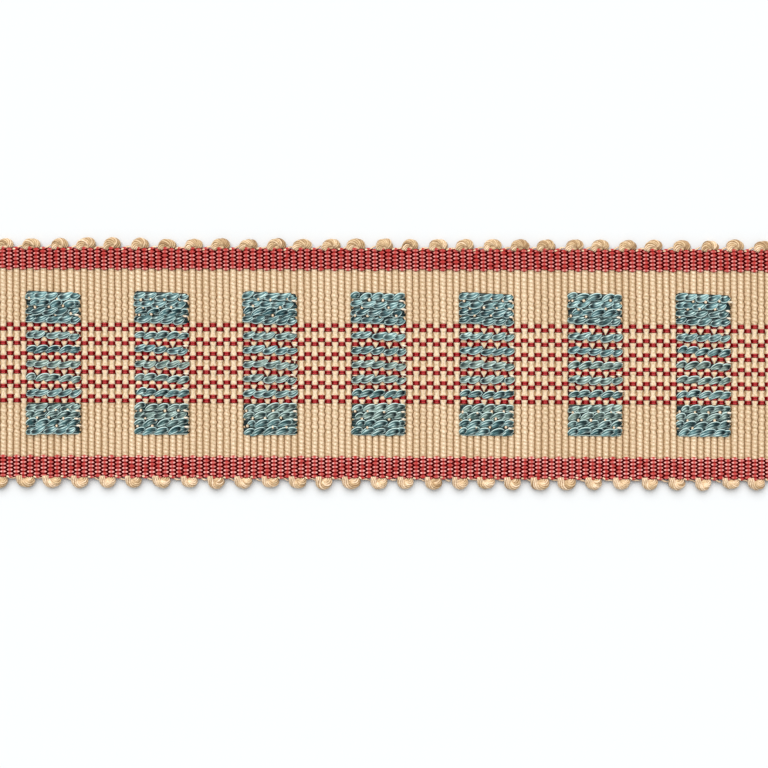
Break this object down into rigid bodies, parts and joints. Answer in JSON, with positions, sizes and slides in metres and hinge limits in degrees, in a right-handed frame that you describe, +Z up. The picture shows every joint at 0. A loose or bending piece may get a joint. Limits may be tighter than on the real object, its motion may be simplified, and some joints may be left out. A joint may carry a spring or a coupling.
{
  "type": "cut length of braid trim",
  "caption": "Flat cut length of woven furnishing braid: ribbed cream ground, red warp-faced borders, picot loops along both edges, and blocks and bars of blue-green float yarn.",
  "frame": {"origin": "centre of the overall box, on the surface that the braid lies on", "axes": "+X along the braid, +Y across it towards the edge named upper, +Z up out of its face"},
  "size_m": [0.203, 0.0636, 0.0033],
  "materials": {
    "cream_weft": "soft plied cotton and rayon cord, matt with a slight sheen",
    "red_warp": "fine silky yarn in plain weave over the cords, soft highlights",
    "teal_float": "loosely twisted crimped ribbon yarn, soft sheen",
    "picot_yarn": "soft looped cord, matt"
  },
  "bodies": {
    "root": {"ground": "cream_weft", "picots_upper": "picot_yarn", "picots_lower": "picot_yarn", "block_upper_1": "teal_float", "block_upper_2": "teal_float", "block_upper_3": "teal_float", "block_upper_4": "teal_float", "block_upper_5": "teal_float", "block_upper_6": "teal_float", "block_upper_7": "teal_float", "block_lower_1": "teal_float", "block_lower_2": "teal_float", "block_lower_3": "teal_float", "block_lower_4": "teal_float", "block_lower_5": "teal_float", "block_lower_6": "teal_float", "block_lower_7": "teal_float", "bar_1_1": "teal_float", "bar_1_2": "teal_float", "bar_1_3": "teal_float", "bar_1_4": "teal_float", "bar_1_5": "teal_float", "bar_2_1": "teal_float", "bar_2_2": "teal_float", "bar_2_3": "teal_float", "bar_2_4": "teal_float", "bar_2_5": "teal_float", "bar_3_1": "teal_float", "bar_3_2": "teal_float", "bar_3_3": "teal_float", "bar_3_4": "teal_float", "bar_3_5": "teal_float", "bar_4_1": "teal_float", "bar_4_2": "teal_float", "bar_4_3": "teal_float", "bar_4_4": "teal_float", "bar_4_5": "teal_float", "bar_5_1": "teal_float", "bar_5_2": "teal_float", "bar_5_3": "teal_float", "bar_5_4": "teal_float", "bar_5_5": "teal_float", "bar_6_1": "teal_float", "bar_6_2": "teal_float", "bar_6_3": "teal_float", "bar_6_4": "teal_float", "bar_6_5": "teal_float", "bar_7_1": "teal_float", "bar_7_2": "teal_float", "bar_7_3": "teal_float", "bar_7_4": "teal_float", "bar_7_5": "teal_float"}
  },
  "joints": []
}
